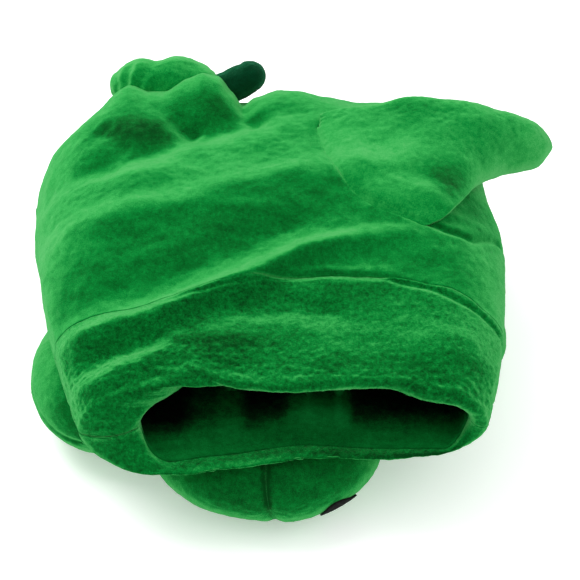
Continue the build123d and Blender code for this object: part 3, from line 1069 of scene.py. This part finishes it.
def sewn_to_back(points, top):
    """Lays the arm's base on the back: flush at the armhole seam, rising towards the free arm."""
    x, y, z = np.moveaxis(points, -1, 0)
    over_body = 1 - smooth(np.abs(x) - half_width(x, y), -9, 1)
    floor = top_z(x, y)
    from_seam = inside_armhole(x, y)
    free = smooth(from_seam, 8, 34)
    if top:
        past_seam = np.maximum(from_seam * 0.6, -2.1) - 0.3
        low = floor + np.where(from_seam > 0, 1.5 * (1 - np.exp(-from_seam / 3.0)), past_seam)
        most = floor + np.maximum(from_seam, 0) * 0.5 + np.where(from_seam > 0, 0.8, -1.2) + 60 * free
    else:
        low = floor - 1.3 + 1.6 * free
        most = floor - 1.3 + 60 * free
    rounding = 7.0 * smooth(from_seam, 0, 12)
    held = -soft_min(-low, -soft_min(z, np.maximum(most, low), 4.0), rounding)
    points[..., 2] = z + (held - z) * over_body
    return points


def right_arm():
    """The outer cloth wraps round the near edge; the palm's edge shows beside the tip."""
    for top, part, finish, full_turns, end_angle in (
        (True, "outer", GREEN, 0, 146.0),
        (False, "palm", DARK, 1, 142.0),
    ):
        face = sewn_to_back(right_arm_face(full_turns, end_angle), top)
        rise = 0.8 * bumps(face, 16.0, 71, 2) + 0.2 * bumps(face, 2.4, 72, 2)
        share = smooth(inside_armhole(face[..., 0], face[..., 1]), 2, 10) if top else 0.2
        face[..., 2] += rise * share
        if top:
            face = face[:, ::-1]
        mesh = cloth(f"arm_cloth_right_{part}", face, ARM_CLOTH, ARM_CLOTH)
        # Painted light on the arm, with its patches of painted light and shade.
        paint_sheen_and_shade(mesh, ARM_PAINTED_LIGHT + painted_patch_tone(mesh, ARM_PAINTED_PATCHES))
        made = piece(mesh, finish, f"arm_right_{part}")
        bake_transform(made)


# The room that the left eye sweeps as the head lifts: angles and reaches from the corner line.
EYE_SWEEP = ((46, 64.2), (48.5, 61.2), (54.5, 60.9), (58, 55.0))
LEFT_LUMP = ((-47.5, 86.0, 83.0), (25.0, 13.5, 13.0))
LEFT_NUB = ((-26.0, 86.0, 77.5), (-9.5, 86.0, 87.5), 7.3)  # both ends and the radius


def clear_of_eyes(points):
    """Moves points out of EYE_SWEEP."""
    y, z = points[..., 1] - NECK_Y, points[..., 2] - MOUTH_Z
    reach = np.hypot(y, z)
    angles, reaches = np.array(EYE_SWEEP).T
    needed = np.interp(np.degrees(np.arctan2(z, y)), angles, reaches)
    over_eye = smooth(points[..., 0], -62, -55) * smooth(points[..., 0], -18, -26)
    out = 1 + np.maximum(needed / reach - 1, 0) * over_eye
    points[..., 1], points[..., 2] = NECK_Y + y * out, MOUTH_Z + z * out
    return points


def left_lump():
    """The folded arm's outer cloth: two lobes with wrinkles running out of its fold."""

    def shape(points, way):
        x, y, z = np.moveaxis(points, -1, 0)
        off_cleft = x + 50 + 0.25 * (z - 90)
        rise = -1.6 * bell(off_cleft, 4.6) * smooth(way[..., 2], -0.2, 0.6)
        angle = np.arctan2(z - 76.0, x + 62.0)
        wrinkles = 0.6 * np.sin(angle * 13.0 + y * 0.25) * bell(x + 60, 9.0)
        rise += wrinkles * smooth(way[..., 1], 0.6, 0)
        rise += 1.2 * bumps(points, 15.0, 91, 2) + 0.2 * bumps(points, 2.4, 92, 2)
        return clear_of_eyes(points + way * rise[..., None])

    mesh = ball_mesh("arm_cloth_left_outer", *LEFT_LUMP, shape)
    # Painted light on the folded arm.
    paint_sheen_and_shade(mesh, ARM_PAINTED_LIGHT)
    made = piece(mesh, GREEN, "arm_left_outer", padded=0.5)
    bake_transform(made)


def left_nub():
    """The arm's rounded tip, which shows its palm side."""
    start, end, radius = (np.array(value) for value in LEFT_NUB)
    along = (end - start) / np.linalg.norm(end - start)
    side = np.array([0.0, 1.0, 0.0])
    up = np.cross(along, side)
    around = np.linspace(0, 2 * math.pi, 72, endpoint=False)
    straight = 0.55  # share of the rings before the rounded tip
    rings = []
    for t in np.linspace(0, 1, 60):
        turn = max(0.0, t - straight) / (1 - straight) * math.pi / 2 * 0.985
        middle = start + (end - start) * min(t / straight, 1.0) + along * radius * math.sin(turn)
        size = radius * math.cos(turn) * (1 + 0.05 * math.sin(t * 7))
        rings.append([middle + size * (math.cos(a) * side + math.sin(a) * up) for a in around])
    rings = np.array(rings)
    uneven = 0.06 * bumps(rings, 5.0, 94, 2) + 0.03 * bumps(rings, 2.0, 95, 2)
    rings += (rings - rings.mean(axis=1, keepdims=True)) * uneven[..., None]
    piece(tube_mesh("arm_cloth_left_palm", rings), DARK, "arm_left_palm", body="arm_left")


def jaw_filling(name, reach, sign, inner_z, node, body, share=0.84):
    """Fibre between a jaw's cloth and its pocket, as rings from side to side."""
    angles = np.linspace(8, 70, 28)
    turn = np.radians(angles)
    rings = []
    for x in np.linspace(-0.78, 0.78, 46) * HEAD_HALF:
        far = reach(x, angles) * share - 3.0
        y, z = NECK_Y + far * np.cos(turn), np.maximum(far * np.sin(turn), inner_z)
        back = np.linspace(y[-1], y[0], 14)[1:-1]
        ring = [(x, a, MOUTH_Z + sign * b) for a, b in zip(y, z)]
        rings.append(ring + [(x, a, MOUTH_Z + sign * (inner_z - 0.5)) for a in back])
    rings = np.array(rings)
    rings[..., 2] += 0.5 * bumps(rings, 9.0, 33, 2)
    piece(tube_mesh(name, rings), FIBRE, node, body=body, padded=0.5)


# Middle, half sizes, node, body and how steeply the filling rises along y.
FILLINGS = {
    "rump_fibre": ((-1, -76.5, 17.5), (38, 34, 13), "rump_stuffing", "body", 0.0),
    "haunch_fibre_left": ((-65, -42, 17), (25, 32, 11), "haunch_stuffing_left", "body", 0.0),
    "haunch_fibre_right": ((72, -12, 11), (22, 28, 8), "haunch_stuffing_right", "body", 0.0),
    "arm_fibre_left": ((-37, 87.5, 88.5), (10, 4.5, 2.5), "arm_left_stuffing", "arm_left", 0.0),
    "arm_fibre_right": ((91, 33.5, 85.4), (7, 6, 1.5), "arm_right_stuffing", "arm_right", 0.55),
}


def fillings():
    for name, numbers in FILLINGS.items():
        filling_piece(name, *numbers)
    jaw_filling("crown_fibre", head_reach, 1, 19.5, "crown_stuffing", "upper_jaw")
    jaw_filling("chin_fibre", chin_reach, -1, 17.0, "chin_stuffing", "lower_jaw", 0.74)


def finish_cad_nodes():
    """Materials for the solids that stay as they are."""
    finishes = {
        EYE: ("eye_left", "eye_right"),
        BOARD: ("eye_washer_left", "eye_washer_right", "mouth_board_upper", "mouth_board_lower"),
        LINING: ("finger_pocket", "thumb_pocket"),
    }
    for finish, nodes in finishes.items():
        for node in nodes:
            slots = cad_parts[node].data.materials
            slots.clear()
            slots.append(finish)


sleeve_pieces()
lining_piece()
for one_side in SIGN:
    haunch_piece(one_side)
for one_side in SIGN:
    rump_half(one_side)
    shoulder_piece(one_side)
    eye_mound(one_side)
    nostril_piece(one_side)
rump_patch_piece()
jaw_cloth("head_cloth", head_reach, 76.0, 1, "crown", "upper_jaw", 81)
jaw_cloth("chin_cloth", chin_reach, 82.0, -1, "chin", "lower_jaw", 83)
mouth_lining("upper", head_reach, MOUTH_Z + HALF_GAP + MOUTH_FELT)
mouth_lining("lower", chin_reach, MOUTH_Z - HALF_GAP)
tongue_piece()
right_arm()
left_lump()
left_nub()
fillings()
finish_cad_nodes()

# Studio.

FLOOR_HALF = 6.0  # metres
LAMPS = {  # offset from the puppet in metres, watts and width
    "key": ((-0.55, 0.25, 0.95), 9.0, 0.7),
    "fill": ((0.8, -0.5, 0.8), 3.0, 0.9),
}
SKY_STOPS = ((0.0, (0.30,) * 3), (0.35, (0.72,) * 3), (1.0, (1.0,) * 3))  # from level to straight up
SKY_STRENGTH = 1.1
PHOTO_ELEVATION = math.radians(40.0)
PHOTO_AWAY, PHOTO_LENS, PHOTO_SENSOR = 0.8, 115.4, 36.0
PHOTO_TARGET = (8.5, 0, 35)


def pale_floor():
    """A white floor that glows a little, so that it stays white to the picture's edge."""
    half = FLOOR_HALF
    corners = [(-half, -half, 0), (half, -half, 0), (half, half, 0), (-half, half, 0)]
    floor_mesh = bpy.data.meshes.new("floor")
    floor_mesh.from_pydata(corners, [], [(0, 1, 2, 3)])
    floor = bpy.data.objects.new("floor", floor_mesh)
    bpy.context.scene.collection.objects.link(floor)
    made, tree = material("floor_white")
    glow = {"Emission Color": (1, 1, 1, 1), "Emission Strength": 0.27}
    shaded(tree, {"Base Color": (0.93, 0.93, 0.93, 1), "Roughness": 0.9, **glow})
    floor_mesh.materials.append(made)


def soft_sky():
    """A white sky that is dimmer near the horizon."""
    world = bpy.data.worlds.new("world")
    world.use_nodes = True
    sky = world.node_tree
    way = linked(sky, "ShaderNodeTexCoord").outputs["Generated"]
    up = linked(sky, "ShaderNodeSeparateXYZ", {0: way}).outputs["Z"]
    background = sky.nodes["Background"]
    sky.links.new(ramp(sky, up, SKY_STOPS), background.inputs["Color"])
    background.inputs["Strength"].default_value = SKY_STRENGTH
    bpy.context.scene.world = world
    bpy.context.scene.view_settings.view_transform = "Standard"


def lamps():
    """Two soft lamps that face the puppet."""
    centre = place([0, 0, PHOTO_TARGET[2]])
    for name, (offset, watts, width) in LAMPS.items():
        lamp_data = bpy.data.lights.new(name, "AREA")
        lamp_data.energy = watts
        lamp_data.size = width
        lamp = bpy.data.objects.new(name, lamp_data)
        lamp.location = centre + np.array(offset)
        lamp.rotation_euler = (-Vector(offset)).to_track_quat("-Z", "Y").to_euler()
        bpy.context.scene.collection.objects.link(lamp)


def photo_camera():
    """The camera stands in front of the hand opening and looks down at it."""
    data = bpy.data.cameras.new("camera")
    data.sensor_width = PHOTO_SENSOR
    data.lens = PHOTO_LENS
    camera = bpy.data.objects.new("camera", data)
    back = Vector((0, -math.cos(PHOTO_ELEVATION), math.sin(PHOTO_ELEVATION)))
    camera.location = Vector(place(PHOTO_TARGET)) + back * PHOTO_AWAY
    camera.rotation_euler = (-back).to_track_quat("-Z", "Y").to_euler()
    bpy.context.scene.collection.objects.link(camera)
    bpy.context.scene.camera = camera


photo_camera()
pale_floor()
soft_sky()
lamps()
